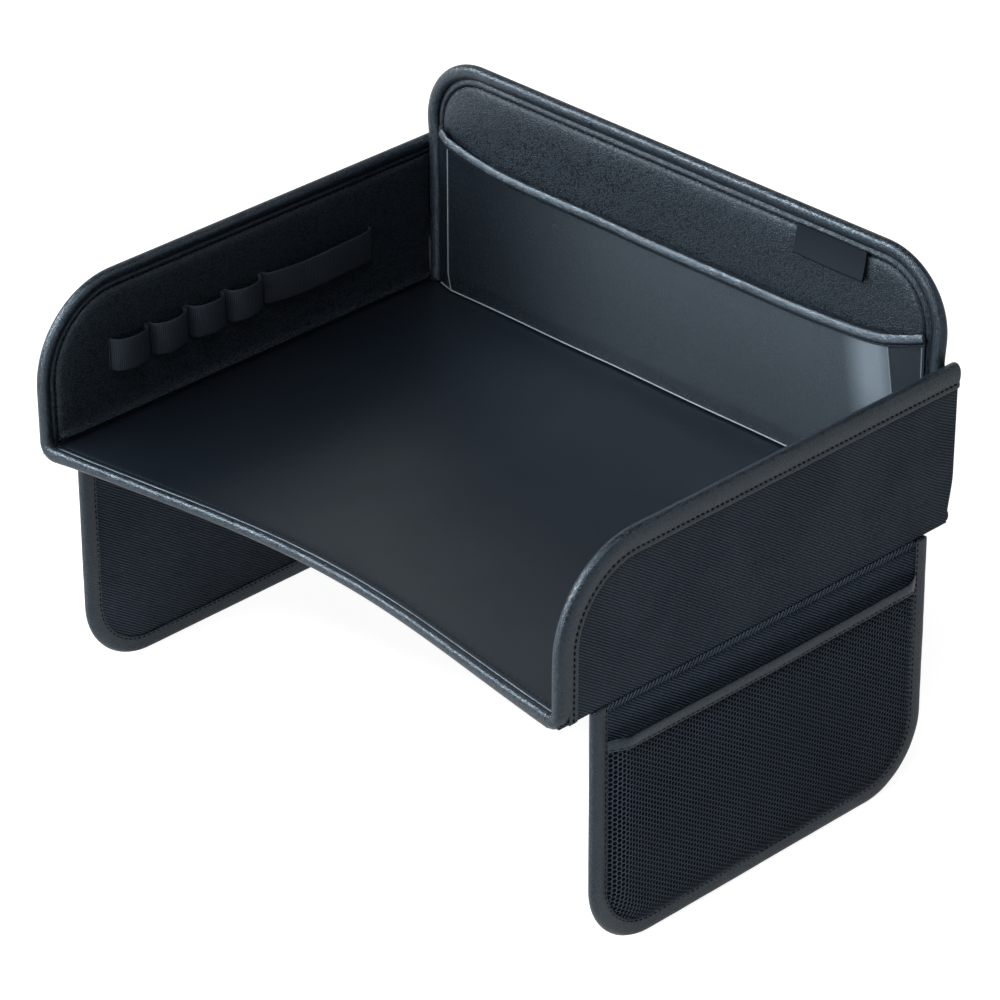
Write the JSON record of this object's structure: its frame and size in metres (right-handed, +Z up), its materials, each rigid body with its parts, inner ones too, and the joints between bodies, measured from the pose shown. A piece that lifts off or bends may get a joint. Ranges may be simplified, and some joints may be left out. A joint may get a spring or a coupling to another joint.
{
  "type": "travel tray",
  "caption": "Padded lap tray for a child with fold-out walls, clear back pocket, pen loops and hanging wings with mesh pockets.",
  "frame": {"origin": "centre of the tray floor's underside, where it rests on the lap", "axes": "+Z up, +Y from the child to the back wall, +X to the wall without pen loops"},
  "size_m": [0.4364, 0.3142, 0.319],
  "materials": {
    "binding": "grained, semi-gloss",
    "leather": "grained, satin",
    "floor": "fine matt grain",
    "woven": "ribbed weave",
    "board": "plain",
    "elastic": "fine rib",
    "film": "clear, lightly grained",
    "net": "open net",
    "hook": "hook tape",
    "loop": "loop tape",
    "tag": "plain woven"
  },
  "bodies": {
    "tray_floor": {"base_board": "board", "base_top_panel": "floor", "base_underside_cover": "woven", "base_front_binding": "binding"},
    "left_wall": {"left_wall_board": "board", "left_wall_inner_panel": "leather", "left_wall_outer_cover": "woven", "left_wall_binding": "binding", "pen_loops": "elastic"},
    "right_wall": {"right_wall_board": "board", "right_wall_inner_panel": "leather", "right_wall_outer_cover": "woven", "right_wall_binding": "binding"},
    "back_wall": {"back_wall_board": "board", "back_wall_inner_panel": "leather", "back_wall_outer_cover": "woven", "back_wall_binding": "binding", "clear_pocket": "film", "clear_pocket_binding": "binding", "side_tag": "tag", "left_loop_tape": "loop", "right_loop_tape": "loop"},
    "left_flap": {"left_corner_flap": "woven", "left_flap_hook_tape": "hook"},
    "right_flap": {"right_corner_flap": "woven", "right_flap_hook_tape": "hook"},
    "left_wing": {"left_wing_board": "board", "left_wing_inner_cover": "woven", "left_wing_outer_cover": "woven", "left_wing_binding": "binding", "left_wing_top_seam": "woven", "left_mesh_pocket_net": "net", "left_mesh_pocket_side": "net", "left_mesh_pocket_binding": "binding"},
    "right_wing": {"right_wing_board": "board", "right_wing_inner_cover": "woven", "right_wing_outer_cover": "woven", "right_wing_binding": "binding", "right_wing_top_seam": "woven", "right_mesh_pocket_net": "net", "right_mesh_pocket_side": "net", "right_mesh_pocket_binding": "binding"}
  },
  "joints": [
    {"name": "left_wall_fold", "type": "hinge", "parent": "tray_floor", "child": "left_wall", "pos_m": [-0.21, 0, 0], "axis": [0, -1, 0], "range_deg": [0, 88.5]},
    {"name": "right_wall_fold", "type": "hinge", "parent": "tray_floor", "child": "right_wall", "pos_m": [0.21, 0, 0], "axis": [0, 1, 0], "range_deg": [0, 88.5]},
    {"name": "back_wall_fold", "type": "hinge", "parent": "tray_floor", "child": "back_wall", "pos_m": [0, 0.1479, 0.015], "axis": [1, 0, 0], "range_deg": [0, 90], "deforming": ["pen_loops"]},
    {"name": "left_wing_swing", "type": "hinge", "parent": "tray_floor", "child": "left_wing", "pos_m": [-0.2085, 0, -0.003], "axis": [0, -1, 0], "range_deg": [-60, 90]},
    {"name": "right_wing_swing", "type": "hinge", "parent": "tray_floor", "child": "right_wing", "pos_m": [0.2085, 0, -0.003], "axis": [0, 1, 0], "range_deg": [-60, 90]},
    {"name": "left_flap_peel", "type": "hinge", "parent": "left_wall", "child": "left_flap", "pos_m": [-0.2083, 0.1555, 0.00005], "axis": [-0.0262, 0, 0.9997], "range_deg": [0, 100]},
    {"name": "right_flap_peel", "type": "hinge", "parent": "right_wall", "child": "right_flap", "pos_m": [0.2083, 0.1555, 0.00005], "axis": [-0.0262, 0, -0.9997], "range_deg": [0, 100]}
  ]
}
